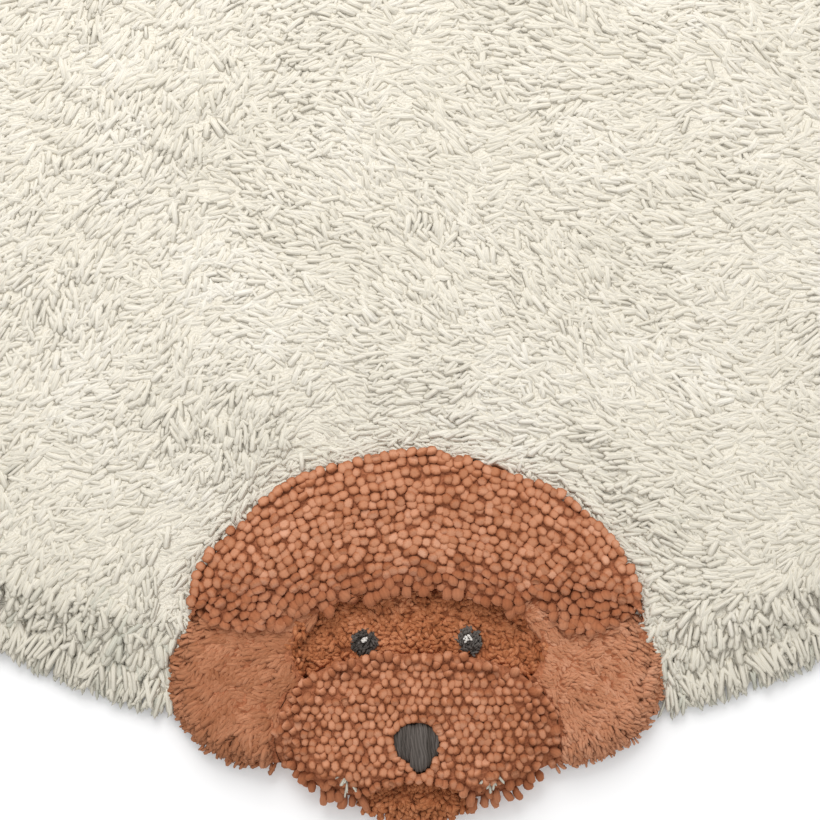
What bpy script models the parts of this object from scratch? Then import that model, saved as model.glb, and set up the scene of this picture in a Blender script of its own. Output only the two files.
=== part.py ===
"""A round tufted cotton rug, flat on the floor, with a curly-coated dog's head at its front edge.

The node rug is one piece: the ground cloth with its cream shag. The shag stops at the head's
outline, and only the thin ground cloth runs on under the head. The head's pile stands on that
cloth in patches, each a node of its own: a crown of fat knobs, two ears of cut pile, a low dark
band round the eyes, a knobbed muzzle, a dark chin, a nose, two eyes and a light tuft in each eye.

Metres, +Z up. The origin is the circle's centre on the floor, and the dog's chin points to -Y.
"""

import math
import random
from collections import namedtuple

import bmesh
import bpy
from mathutils import Vector, noise

# The round field of shag
RUG_RADIUS = 0.600  # to the tips of the locks at the rim
RIM_LOCK_REACH = 0.013
SHAG_HEIGHT = 0.0200
SHAG_RIM_HEIGHT = 0.0095  # where the pile leans over the rim
SHAG_HEAD_HEIGHT = 0.0150  # where the head's knobs press on it
SHAG_SLOPE_WIDTH = 0.045  # over which the pile rises from either border
SHAG_LUMP = 0.0028
SHAG_LUMP_WIDTH = 0.075
SHAG_CELLS = 40  # across the field

# The ground cloth, which carries everything
CLOTH_THICKNESS = 0.0030
CLOTH_INSET = 0.004  # how far it stays inside the head's outline

# Fits between neighbours
GAP = 0.0004
PILE_BASE = CLOTH_THICKNESS + 0.0003
CUTTER_SIDE = 0.0042  # length of one side of a cutter's outline
FEWEST_SIDES = 24
MEASURING_STEPS = 90  # round an outline, to find its length
HALVINGS = 24  # of the stretch in which the head's outline is sought
ABOVE_ALL = 0.060
BELOW_ALL = -0.010

# Locks: tapered tongues of yarn, fused to a pile's rim
LOCK_LEAN = 0.45  # how far a tip leans to one side, as a share of its reach
FLOOR_TIP = 0.0035  # thickness of a tip that lies on the floor
KNOB_TIP = 0.0022  # thickness of a knob's tip that lies over the shag
LOCK_SPREAD = 0.35  # uneven lengths, as a share of the reach
SEED = 11

# The head's datum is the point between the eyes and the muzzle
HEAD_Y = -0.540

# A patch's outline: its centre from the datum, its half width, how far it reaches back (+Y) and
# front (-Y), the power of its curve (2 is an ellipse) and its turn in degrees.
Oval = namedtuple("Oval", "x y half_width back front power turn")
OVALS = {
    "crown": Oval(0, 0.026, 0.147, 0.107, 0.048, 1.8, 0),
    "ear_left": Oval(-0.098, -0.012, 0.059, 0.056, 0.056, 2.2, -18),
    "ear_right": Oval(0.098, -0.012, 0.059, 0.056, 0.056, 2.2, 18),
    "eye_band": Oval(0, 0.005, 0.079, 0.040, 0.040, 2, 0),
    "muzzle": Oval(0, -0.052, 0.090, 0.055, 0.042, 2.4, 0),
    "chin": Oval(0, -0.090, 0.036, 0.014, 0.012, 2, 0),
    "nose": Oval(0, -0.054, 0.0146, 0.0140, 0.0180, 2.3, 0),
    "eye_left": Oval(-0.033, 0.011, 0.0074, 0.0086, 0.0086, 2, -20),
    "eye_right": Oval(0.033, 0.011, 0.0074, 0.0086, 0.0086, 2, 20),
    "glint_left": Oval(-0.0335, 0.0125, 0.0022, 0.0022, 0.0022, 2, 0),
    "glint_right": Oval(0.0325, 0.0125, 0.0022, 0.0022, 0.0022, 2, 0),
}
HEAD_OUTLINE = ("crown", "ear_left", "ear_right", "muzzle", "chin")

# A patch's pile: cells across and along, its top above the floor in the middle and at the head's
# outline, how far it rounds down at its own edge, the line between its wall's two rows, the height
# and width of its lumps, and what is cut out of it.
Pile = namedtuple(
    "Pile", "name cells_x cells_y top outline_top edge_drop ledge lump lump_width cut_by"
)
PILES = (
    Pile("crown", 36, 20, 0.0260, 0.0225, 0.0010, 0.0185, 0.0016, 0.017,
         ("eye_band", "ear_left", "ear_right", "muzzle")),
    Pile("ear_left", 14, 12, 0.0235, 0.0130, 0.0010, 0.0090, 0.0020, 0.030,
         ("muzzle", "eye_band")),
    Pile("ear_right", 14, 12, 0.0235, 0.0130, 0.0010, 0.0090, 0.0020, 0.030,
         ("muzzle", "eye_band")),
    Pile("eye_band", 18, 9, 0.0150, 0.0150, 0.0005, 0.0090, 0.0010, 0.020,
         ("muzzle", "eye_left", "eye_right")),
    Pile("muzzle", 22, 12, 0.0270, 0.0140, 0.0020, 0.0090, 0.0016, 0.017, ("chin", "nose")),
    Pile("chin", 10, 5, 0.0175, 0.0110, 0.0010, 0.0080, 0.0010, 0.020, ()),
    Pile("nose", 6, 6, 0.0285, 0.0285, 0.0035, 0.0150, 0, 0.020, ()),
    Pile("eye_left", 5, 5, 0.0175, 0.0175, 0.0025, 0.0090, 0, 0.020, ("glint_left",)),
    Pile("eye_right", 5, 5, 0.0175, 0.0175, 0.0025, 0.0090, 0, 0.020, ("glint_right",)),
    Pile("glint_left", 2, 2, 0.0185, 0.0185, 0.0010, 0.0090, 0, 0.020, ()),
    Pile("glint_right", 2, 2, 0.0185, 0.0185, 0.0010, 0.0090, 0, 0.020, ()),
)
HEAD_SLOPE_WIDTH = 0.024  # over which the head's pile rises from its outline
EDGE_SHARPNESS = 6  # the power by which a patch rounds down: higher keeps it level for longer

# Where a patch has locks: from and to, in degrees round its centre before its turn, how far they
# reach, the width of a tip as a share of its root, and whether they hang down to the floor.
Locks = namedtuple("Locks", "name start end reach pinch on_floor")
PATCH_LOCKS = (
    Locks("crown", 4, 176, 0.0070, 0.60, False),
    Locks("ear_left", 228, 288, 0.0080, 0.35, True),
    Locks("ear_right", 252, 312, 0.0080, 0.35, True),
    Locks("muzzle", 205, 214, 0.0075, 0.60, True),
    Locks("muzzle", 326, 335, 0.0075, 0.60, True),
    Locks("chin", 222, 318, 0.0060, 0.35, True),
)
RIM_LOCK_PINCH = 0.28

# Colours as linear RGB
CREAM = (0.760, 0.700, 0.590)
RUST = (0.440, 0.180, 0.085)
DARK_RUST = (0.270, 0.092, 0.038)
CHARCOAL = (0.100, 0.080, 0.068)
WHITE = (0.820, 0.790, 0.740)
COLOURS = {
    "eye_band": DARK_RUST,
    "chin": DARK_RUST,
    "nose": CHARCOAL,
    "eye_left": CHARCOAL,
    "eye_right": CHARCOAL,
    "glint_left": WHITE,
    "glint_right": WHITE,
}
YARN_ROUGHNESS = 0.95


def smooth_step(share):
    """0 to 1 with level ends."""
    t = min(max(share, 0.0), 1.0)
    return t * t * (3 - 2 * t)


def oval_radius(oval, angle):
    """How far an oval's edge is from its centre, at an angle measured before its turn."""
    across, along = math.cos(angle), math.sin(angle)
    depth = oval.back if along >= 0 else oval.front
    summed = abs(across / oval.half_width) ** oval.power + abs(along / depth) ** oval.power
    return summed ** (-1 / oval.power)


def oval_angle(oval, x, y):
    """The angle of a unit disc's point once the disc is stretched to the oval's sizes."""
    return math.atan2(y * (oval.back if y >= 0 else oval.front), x * oval.half_width)


def placed(oval, x, y):
    """A point of an oval's own frame, turned and moved to its place on the rug."""
    turn = math.radians(oval.turn)
    return (
        oval.x + x * math.cos(turn) - y * math.sin(turn),
        HEAD_Y + oval.y + x * math.sin(turn) + y * math.cos(turn),
    )


def beyond_oval(oval, x, y):
    """How far a point of the rug lies outside an oval, along the line from its centre."""
    dx, dy = x - oval.x, y - HEAD_Y - oval.y
    angle = math.atan2(dy, dx) - math.radians(oval.turn)
    return math.hypot(dx, dy) - oval_radius(oval, angle)


def beyond_head(x, y):
    """How far a point lies outside the head's outline; below 0 it is under the head."""
    return min(beyond_oval(OVALS[name], x, y) for name in HEAD_OUTLINE)


def head_reach(start, angle, near, far):
    """How far the head reaches from a start point along a line; its outline is between near and far."""
    for _ in range(HALVINGS):
        middle = (near + far) / 2
        if beyond_head(start[0] + middle * math.cos(angle), start[1] + middle * math.sin(angle)) < 0:
            near = middle
        else:
            far = middle
    return near


def on_disc(x, y):
    """Bends the square from -1 to 1 into the unit disc and keeps its cells even."""
    return x * math.sqrt(1 - y * y / 2), y * math.sqrt(1 - x * x / 2)


def lumps(x, y, width):
    return noise.noise(Vector((x, y, 0)) / width)


def cloth_radius(angle):
    """The ground cloth's edge: the round field's, or the head's where that reaches further."""
    field = RUG_RADIUS - RIM_LOCK_REACH
    if beyond_head(field * math.cos(angle), field * math.sin(angle)) >= -CLOTH_INSET:
        return field
    return max(field, head_reach((0, 0), angle, field, 2 * field) - CLOTH_INSET)


def shag_top(x, y, from_rim):
    """The cream pile's top: lumpy, and lower at the rim and beside the head."""
    at_rim = smooth_step(from_rim / SHAG_SLOPE_WIDTH)
    at_head = smooth_step(beyond_head(x, y) / SHAG_SLOPE_WIDTH)
    height = SHAG_HEIGHT + (SHAG_RIM_HEIGHT - SHAG_HEIGHT) * (1 - at_rim)
    height += (SHAG_HEAD_HEIGHT - SHAG_HEIGHT) * (1 - at_head) * at_rim
    return height + SHAG_LUMP * at_rim * at_head * lumps(x, y, SHAG_LUMP_WIDTH)


def pile_top(pile, x, y, share):
    """A patch's top at a point; share is 0 at the patch's centre and 1 at its edge."""
    rise = smooth_step(-beyond_head(x, y) / HEAD_SLOPE_WIDTH)
    height = pile.outline_top + (pile.top - pile.outline_top) * rise
    height += pile.lump * rise * lumps(x, y, pile.lump_width)
    return height - pile.edge_drop * share**EDGE_SHARPNESS


def rim_edges(bm):
    return [edge for edge in bm.edges if edge.is_boundary]


def drop_rim(bm, height):
    """Extrudes the open rim straight down to a height, and returns the new wall's faces."""
    made = bmesh.ops.extrude_edge_only(bm, edges=rim_edges(bm))["geom"]
    for item in made:
        if isinstance(item, bmesh.types.BMVert):
            item.co.z = height
    return [item for item in made if isinstance(item, bmesh.types.BMFace)]


def close_below(bm):
    bmesh.ops.contextual_create(bm, geom=rim_edges(bm))
    bmesh.ops.recalc_face_normals(bm, faces=bm.faces[:])


def pull_lock(bm, root, chance, most_reach, pinch, tip_low, tip_high):
    """Pulls a tapered, leaning lock out of one wall face; its tip's edges end at two heights."""
    reach = most_reach * (1 - LOCK_SPREAD * chance.random())
    lean = reach * LOCK_LEAN * chance.uniform(-1, 1)
    tip = bmesh.ops.extrude_discrete_faces(bm, faces=[root])["faces"][0]
    outward = Vector((tip.normal.x, tip.normal.y, 0)).normalized()
    sideways = Vector((-outward.y, outward.x, 0))
    middle = tip.calc_center_median()
    for vert in tip.verts:
        upper = vert.co.z > middle.z
        vert.co = middle + (vert.co - middle) * pinch + outward * reach + sideways * lean
        vert.co.z = tip_high if upper else tip_low


def add_shag_locks(bm, wall):
    """Locks on every other face of the round rim, clear of the head."""
    chance = random.Random(SEED)
    for root in in_turn(wall, Vector((0, 0, 0)))[::2]:
        middle = root.calc_center_median()
        if beyond_head(middle.x, middle.y) > RIM_LOCK_REACH:
            pull_lock(bm, root, chance, RIM_LOCK_REACH, RIM_LOCK_PINCH, 0, FLOOR_TIP)


def in_turn(wall, centre):
    """Wall faces in order round a centre."""
    def angle(face):
        middle = face.calc_center_median() - centre
        return math.atan2(middle.y, middle.x)
    return sorted(wall, key=angle)


def lock_row(name, degrees, on_floor):
    """The row of PATCH_LOCKS that covers an angle of a patch's rim, or None."""
    for row in PATCH_LOCKS:
        if row.name == name and row.on_floor == on_floor and row.start <= degrees <= row.end:
            return row
    return None


def add_patch_locks(bm, name, wall, on_floor):
    """Locks on every other face of the stretches of one wall row that have them."""
    oval = OVALS[name]
    chance = random.Random(SEED)
    centre = Vector((*placed(oval, 0, 0), 0))
    for root in in_turn(wall, centre)[::2]:
        middle = root.calc_center_median() - centre
        degrees = (math.degrees(math.atan2(middle.y, middle.x)) - oval.turn) % 360
        row = lock_row(name, degrees, on_floor)
        if row and on_floor:
            pull_lock(bm, root, chance, row.reach, row.pinch, 0, FLOOR_TIP)
        elif row:
            low = min(vert.co.z for vert in root.verts)
            pull_lock(bm, root, chance, row.reach, row.pinch, low, low + KNOB_TIP)


def collection(name):
    made = bpy.data.collections.new(name)
    bpy.context.scene.collection.children.link(made)
    return made


def yarn_material(name, colour):
    material = bpy.data.materials.new(name)
    material.use_nodes = True
    shader = material.node_tree.nodes["Principled BSDF"]
    shader.inputs["Base Color"].default_value = (*colour, 1)
    shader.inputs["Roughness"].default_value = YARN_ROUGHNESS
    shader.inputs["Metallic"].default_value = 0
    return material


def add_object(bm, name, into, colour=None):
    """Makes an object of a bmesh, triangulated so that a Boolean reads each face as flat."""
    bmesh.ops.triangulate(bm, faces=bm.faces[:])
    mesh = bpy.data.meshes.new(name)
    bm.to_mesh(mesh)
    bm.free()
    if colour:
        mesh.materials.append(yarn_material(name + "_yarn", colour))
        mesh.shade_smooth()
    made = bpy.data.objects.new(name, mesh)
    into.objects.link(made)
    return made


def sides_of(outline):
    """How many sides an outline, a function from an angle to a point, needs for its length."""
    turns = [2 * math.pi * i / MEASURING_STEPS for i in range(MEASURING_STEPS + 1)]
    points = [outline(turn) for turn in turns]
    length = sum(math.dist(a, b) for a, b in zip(points, points[1:]))
    return max(FEWEST_SIDES, round(length / CUTTER_SIDE))


def add_cutter(name, outline, low, into):
    """A hidden prism over an outline, given as a function from an angle to a point."""
    bm = bmesh.new()
    bmesh.ops.create_circle(bm, cap_ends=True, segments=sides_of(outline), radius=1)
    for vert in bm.verts:
        vert.co = (*outline(math.atan2(vert.co.y, vert.co.x)), low)
    raised = bmesh.ops.extrude_face_region(bm, geom=bm.faces[:])["geom"]
    for item in raised:
        if isinstance(item, bmesh.types.BMVert):
            item.co.z = ABOVE_ALL
    bmesh.ops.recalc_face_normals(bm, faces=bm.faces[:])
    cutter = add_object(bm, name, into)
    cutter.hide_render = True
    cutter.display_type = "WIRE"
    return cutter


def add_oval_cutter(name, into):
    """A patch's outline grown by the gap, to cut it out of a neighbour."""
    oval = OVALS[name]

    def outline(turn):
        angle = oval_angle(oval, math.cos(turn), math.sin(turn))
        radius = oval_radius(oval, angle) + GAP
        return placed(oval, radius * math.cos(angle), radius * math.sin(angle))

    return add_cutter(name + "_cutter", outline, BELOW_ALL, into)


def add_head_cutter(into):
    """The whole head's outline grown by the gap, down to the ground cloth."""
    def outline(angle):
        radius = head_reach((0, HEAD_Y), angle, 0, RUG_RADIUS) + GAP
        return radius * math.cos(angle), HEAD_Y + radius * math.sin(angle)

    return add_cutter("head_cutter", outline, CLOTH_THICKNESS, into)


def cut(obj, cutter):
    modifier = obj.modifiers.new("Cut by " + cutter.name, "BOOLEAN")
    modifier.operation = "DIFFERENCE"
    modifier.object = cutter


def add_rug(into):
    """The ground cloth with its cream shag and the locks at its rim."""
    bm = bmesh.new()
    bmesh.ops.create_grid(bm, x_segments=SHAG_CELLS, y_segments=SHAG_CELLS, size=1)
    bmesh.ops.subdivide_edges(bm, edges=rim_edges(bm), cuts=1)
    for vert in bm.verts:
        x, y = on_disc(vert.co.x, vert.co.y)
        radius = cloth_radius(math.atan2(y, x))
        from_rim = radius * (1 - math.hypot(x, y))
        vert.co = (x * radius, y * radius, shag_top(x * radius, y * radius, from_rim))
    wall = drop_rim(bm, 0)
    close_below(bm)
    add_shag_locks(bm, wall)
    return add_object(bm, "rug", into, CREAM)


def add_patch(pile, into):
    """A patch of the head's pile: a lumpy top, a wall of two rows, a flat underside and locks."""
    oval = OVALS[pile.name]
    bm = bmesh.new()
    bmesh.ops.create_grid(bm, x_segments=pile.cells_x, y_segments=pile.cells_y, size=1)
    for vert in bm.verts:
        x, y = on_disc(vert.co.x, vert.co.y)
        share = min(math.hypot(x, y), 1)
        angle = oval_angle(oval, x, y)
        radius = share * oval_radius(oval, angle)
        px, py = placed(oval, radius * math.cos(angle), radius * math.sin(angle))
        vert.co = (px, py, pile_top(pile, px, py, share))
    upper = drop_rim(bm, pile.ledge)
    lower = drop_rim(bm, PILE_BASE)
    close_below(bm)
    add_patch_locks(bm, pile.name, upper, False)
    add_patch_locks(bm, pile.name, lower, True)
    return add_object(bm, pile.name, into, COLOURS.get(pile.name, RUST))


def main():
    for obj in list(bpy.data.objects):
        bpy.data.objects.remove(obj)
    parts = collection("dog_rug")
    cutters = collection("cutters")
    cutters.hide_render = True

    rug = add_rug(parts)
    cut(rug, add_head_cutter(cutters))

    patches = {pile.name: add_patch(pile, parts) for pile in PILES}
    needed = {name for pile in PILES for name in pile.cut_by}
    tools = {name: add_oval_cutter(name, cutters) for name in sorted(needed)}
    for pile in PILES:
        for name in pile.cut_by:
            cut(patches[pile.name], tools[name])


main()
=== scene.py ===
import math

import bmesh
import bpy
import numpy as np
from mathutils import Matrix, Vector, noise
from mathutils.bvhtree import BVHTree
from mathutils.kdtree import KDTree


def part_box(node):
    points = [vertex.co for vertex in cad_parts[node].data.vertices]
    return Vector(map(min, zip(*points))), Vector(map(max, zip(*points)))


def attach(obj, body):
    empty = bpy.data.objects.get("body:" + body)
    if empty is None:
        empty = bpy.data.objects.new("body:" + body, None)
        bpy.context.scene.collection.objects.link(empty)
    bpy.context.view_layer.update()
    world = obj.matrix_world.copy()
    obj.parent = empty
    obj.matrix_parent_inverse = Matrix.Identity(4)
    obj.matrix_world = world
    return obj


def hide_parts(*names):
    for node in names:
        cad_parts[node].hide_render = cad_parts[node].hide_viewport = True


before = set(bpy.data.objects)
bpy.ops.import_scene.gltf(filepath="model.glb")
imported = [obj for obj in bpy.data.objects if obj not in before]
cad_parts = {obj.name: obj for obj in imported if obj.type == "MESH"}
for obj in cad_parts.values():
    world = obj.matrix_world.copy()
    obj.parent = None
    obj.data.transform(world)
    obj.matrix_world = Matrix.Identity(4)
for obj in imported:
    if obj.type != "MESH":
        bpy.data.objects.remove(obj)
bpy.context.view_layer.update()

# A round tufted cotton rug on a pale floor, seen from straight above its front edge.
# Every strand, knob and stitch is one bent copy of a small template, and the copies of a
# patch are joined in one mesh. Metres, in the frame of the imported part.

headY = -0.540  # between the dog's eyes and its muzzle
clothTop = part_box("eye_band")[0].z  # where the head's pile stands on the ground cloth
pileFrom = clothTop + 0.004  # a patch's top is pile above this, and a gap or its edge below
shagFrom = 0.006  # the rug's top is shag above this, and bare cloth under the head below
lowest = 0.0003  # above the floor, for any strand
lowestTip = 0.0012  # for the middle line of a strand that lies over
mapName = "OFBake"  # the UV map: across is a copy's tint, up is the way from root to tip
tintWidth = 0.030  # how much of the map's width goes round one copy


# Colours and numbers

def colour(red, green, blue):
    # screen values from 0 to 255, as Blender's linear ones
    return tuple(((part / 255 + 0.055) / 1.055) ** 2.4 for part in (red, green, blue)) + (1,)


def smoothStep(values):
    share = np.clip(values, 0, 1)
    return share * share * (3 - 2 * share)


def unit(vectors):
    return vectors / np.maximum(np.linalg.norm(vectors, axis=-1, keepdims=True), 1e-9)


def turnedBy(headings, turns):
    cosines, sines = np.cos(turns), np.sin(turns)
    return np.stack([
        headings[:, 0] * cosines - headings[:, 1] * sines,
        headings[:, 0] * sines + headings[:, 1] * cosines], 1)


def swirl(places, size, layer):
    # smooth noise about -1 to 1 at flat places, for patterns of that size
    found = [noise.noise(Vector((x / size, y / size, layer))) for x, y in places]
    return np.array(found) * 1.6


# The outlines of the head's patches

def oval(x, y, wide, up, down, power=2, turn=0):
    # measured from the head's middle; up and down are its reach to the back and to the front
    return dict(middle=(x, headY + y), wide=wide, up=up, down=down, power=power, turn=turn)


outlines = {
    "crown": oval(0, 0.026, wide=0.147, up=0.107, down=0.048, power=1.8),
    "ear_left": oval(-0.098, -0.012, wide=0.059, up=0.056, down=0.056, power=2.2, turn=-18),
    "ear_right": oval(0.098, -0.012, wide=0.059, up=0.056, down=0.056, power=2.2, turn=18),
    "eye_band": oval(0, 0.005, wide=0.079, up=0.040, down=0.040),
    "muzzle": oval(0, -0.052, wide=0.090, up=0.055, down=0.042, power=2.4),
    "chin": oval(0, -0.090, wide=0.036, up=0.014, down=0.012),
    "noseRoom": oval(0, -0.054, wide=0.0166, up=0.0172, down=0.0150, power=2.3),
    "lobeRoom": oval(0.0018, -0.064, wide=0.0086, up=0.0120, down=0.0108),
}


def ovalShare(name, places):
    # 0 at an outline's middle and 1 on it, with the way straight out of it
    outline = outlines[name]
    power, turn = outline["power"], math.radians(outline["turn"])
    turned = np.array([[math.cos(turn), -math.sin(turn)], [math.sin(turn), math.cos(turn)]])
    aside = (places - np.array(outline["middle"])) @ turned
    reach = np.column_stack([
        np.full(len(places), outline["wide"]),
        np.where(aside[:, 1] > 0, outline["up"], outline["down"])])
    ratio = np.maximum(np.abs(aside) / reach, 1e-6)
    share = (ratio ** power).sum(1) ** (1 / power)
    outward = unit(np.sign(aside) * ratio ** (power - 1) / reach)
    return share, outward @ turned.T


def outlinePlaces(name, spacing):
    # evenly spaced places on an outline
    angles = np.linspace(0, 2 * math.pi, 721)
    ways = np.stack([np.cos(angles), np.sin(angles)], 1)
    middle = np.array(outlines[name]["middle"])
    line = middle + ways / ovalShare(name, middle + ways)[0][:, None]
    lengths = np.concatenate([[0], np.cumsum(np.linalg.norm(np.diff(line, axis=0), axis=1))])
    marks = np.arange(0, lengths[-1] - spacing / 2, spacing)
    return np.stack([np.interp(marks, lengths, line[:, i]) for i in (0, 1)], 1)


# Reading the CAD

def topTree(*nodes):
    bm = bmesh.new()
    for node in nodes:
        bm.from_mesh(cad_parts[node].data)
    tree = BVHTree.FromBMesh(bm)
    bm.free()
    return tree


def topHeights(tree, places):
    # height of the topmost face over each place, and 0 where there is none
    heights = np.zeros(len(places))
    for i, (x, y) in enumerate(places):
        hit = tree.ray_cast((x, y, 0.1), (0, 0, -1))[0]
        if hit:
            heights[i] = hit.z
    return heights


def kdTree(points):
    tree = KDTree(len(points))
    for i, (x, y) in enumerate(points):
        tree.insert((x, y, 0), i)
    tree.balance()
    return tree


def nearest(tree, places):
    # how far the nearest point of a tree is, which one it is, and the way to it
    found = [tree.find((x, y, 0)) for x, y in places]
    which = np.array([index for _, index, _ in found])
    far = np.array([distance for _, _, distance in found])
    target = np.array([point.xy for point, _, _ in found])
    return far, which, unit(target - places)


# Templates and copies

def makeTemplate(sides, stations):
    # a closed spindle: stations are its rings, as share of its length and share of its width
    bm = bmesh.new()
    bmesh.ops.create_uvsphere(bm, u_segments=sides, v_segments=len(stations) + 1, radius=1)
    bm.verts.index_update()
    levels = sorted({round(v.co.z, 4) for v in bm.verts})
    rank = {v.index: levels.index(round(v.co.z, 4)) for v in bm.verts}
    along = np.array([0] + [at for at, _ in stations] + [1])
    radius = np.array([0] + [wide for _, wide in stations] + [0])
    first = next(v for v in bm.verts if rank[v.index] == 1)
    turn = math.pi / 2 - math.atan2(first.co.y, first.co.x)
    angles = {v.index: (math.atan2(v.co.y, v.co.x) + turn) % (2 * math.pi) for v in bm.verts}
    station = np.array([rank[v.index] for v in bm.verts])
    angle = np.array([angles[v.index] for v in bm.verts])
    corners, starts, cornerAround, cornerAlong = [], [], [], []
    for face in bm.faces:
        starts.append(len(corners))
        turns = [(angles[v.index] / (2 * math.pi) + 0.25) % 1 for v in face.verts]
        onRing = [0 < rank[v.index] < len(stations) + 1 for v in face.verts]
        ringTurns = [t for t, on in zip(turns, onRing) if on]
        if max(ringTurns) - min(ringTurns) > 0.5:  # this face crosses the seam, underneath
            turns = [t + 1 if t < 0.5 else t for t in turns]
            ringTurns = [t + 1 if t < 0.5 else t for t in ringTurns]
        middle = sum(ringTurns) / len(ringTurns)
        corners += [v.index for v in face.verts]
        cornerAround += [t if on else middle for t, on in zip(turns, onRing)]
        cornerAlong += [along[rank[v.index]] for v in face.verts]
    triangles = sum(len(f.verts) - 2 for f in bm.faces)
    bm.free()
    return {
        "along": along,
        "station": station,
        "angle": angle,
        "across": np.cos(angle) * radius[station],
        "up": np.sin(angle) * radius[station],
        "corners": np.array(corners),
        "starts": np.array(starts),
        "around": np.array(cornerAround),
        "cornerAlong": np.array(cornerAlong),
        "triangles": triangles,
    }


def arcs(template, roots, middles, ends):
    # each copy's middle line, from three points that steer a curve
    t = template["along"][None, :, None]
    first, second, third = (part[:, None, :] for part in (roots, middles, ends))
    return (1 - t) ** 2 * first + 2 * t * (1 - t) * second + t ** 2 * third


def bentCopies(template, lines, sideways, widths, depths, swell=1.0):
    # the points of each copy of a template, bent along its own line
    tangents = np.gradient(lines, axis=1)
    sides = unit(sideways)[:, None, :]
    ups = unit(np.cross(tangents, np.broadcast_to(sides, tangents.shape)))
    at = template["station"]
    across = template["across"] * widths[:, None] / 2 * swell
    up = template["up"] * depths[:, None] / 2 * swell
    return lines[:, at] + sides * across[..., None] + ups[:, at] * up[..., None]


def lowerTips(template, points, drops):
    # bends each copy down towards its tip, and no lower than the floor
    bend = template["along"][template["station"]] ** 2
    points[:, :, 2] -= drops[:, None] * bend
    points[:, :, 2] = np.maximum(points[:, :, 2], lowest)


def addPiece(name, mesh, material, nodes):
    # a finished mesh as a piece that rides on the rug and stands for those nodes
    mesh.materials.append(material)
    piece = bpy.data.objects.new(name, mesh)
    bpy.context.scene.collection.objects.link(piece)
    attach(piece, "root")
    if nodes:
        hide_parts(*nodes)
    return piece


def joinCopies(name, template, points, tints, material, nodes=()):
    # one mesh of all the copies, with its map
    count, size = points.shape[:2]
    corners = template["corners"]
    mesh = bpy.data.meshes.new(name)
    mesh.vertices.add(count * size)
    mesh.vertices.foreach_set("co", points.astype(np.float32).ravel())
    mesh.loops.add(count * len(corners))
    shifts = np.arange(count)[:, None]
    mesh.loops.foreach_set("vertex_index", (corners + shifts * size).astype(np.int32).ravel())
    mesh.polygons.add(count * len(template["starts"]))
    starts = template["starts"] + shifts * len(corners)
    mesh.polygons.foreach_set("loop_start", starts.astype(np.int32).ravel())
    mesh.update(calc_edges=True)
    mesh.shade_smooth()
    across = 0.01 + tints[:, None] * (0.98 - 1.6 * tintWidth) + template["around"] * tintWidth
    up = np.broadcast_to(template["cornerAlong"] * 0.96 + 0.02, across.shape)
    layer = mesh.uv_layers.new(name=mapName)
    layer.uv.foreach_set("vector", np.stack([across, up], -1).astype(np.float32).ravel())
    print(name, count, "copies,", count * template["triangles"], "triangles")
    return addPiece(name, mesh, material, nodes)


def hexPlaces(low, high, spacing, chance, jitter):
    # a field of places on a triangular grid, each moved a little at random
    across = np.arange(low[0], high[0], spacing)
    rows = np.arange(low[1], high[1], spacing * math.sqrt(3) / 2)
    x, y = np.meshgrid(across, rows)
    x = x + (np.arange(len(rows)) % 2)[:, None] * spacing / 2
    places = np.stack([x.ravel(), y.ravel()], 1)
    return places + chance.uniform(-jitter, jitter, places.shape) * spacing


# Materials

def addNode(tree, kind, place, **values):
    node = tree.nodes.new(kind)
    node.location = place
    for name, value in values.items():
        setattr(node, name, value)
    return node


def fillRamp(node, stops):
    ramp = node.color_ramp
    while len(ramp.elements) < len(stops):
        ramp.elements.new(0.5)
    for element, (at, shade) in zip(ramp.elements, stops):
        element.position = at
        element.color = colour(*shade)


def sumNode(tree, place, first, factor, second):
    # first * factor + second
    node = addNode(tree, "ShaderNodeMath", place, operation="MULTIPLY_ADD")
    tree.links.new(first, node.inputs[0])
    node.inputs[1].default_value = factor
    if isinstance(second, (int, float)):
        node.inputs[2].default_value = second
    else:
        tree.links.new(second, node.inputs[2])
    return node.outputs[0]


def multiplyNode(tree, place, factor, first, second):
    # one colour times the other
    node = addNode(tree, "ShaderNodeMix", place, data_type="RGBA", blend_type="MULTIPLY")
    node.inputs["Factor"].default_value = factor
    tree.links.new(first, node.inputs[6])
    tree.links.new(second, node.inputs[7])
    return node.outputs[2]


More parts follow.
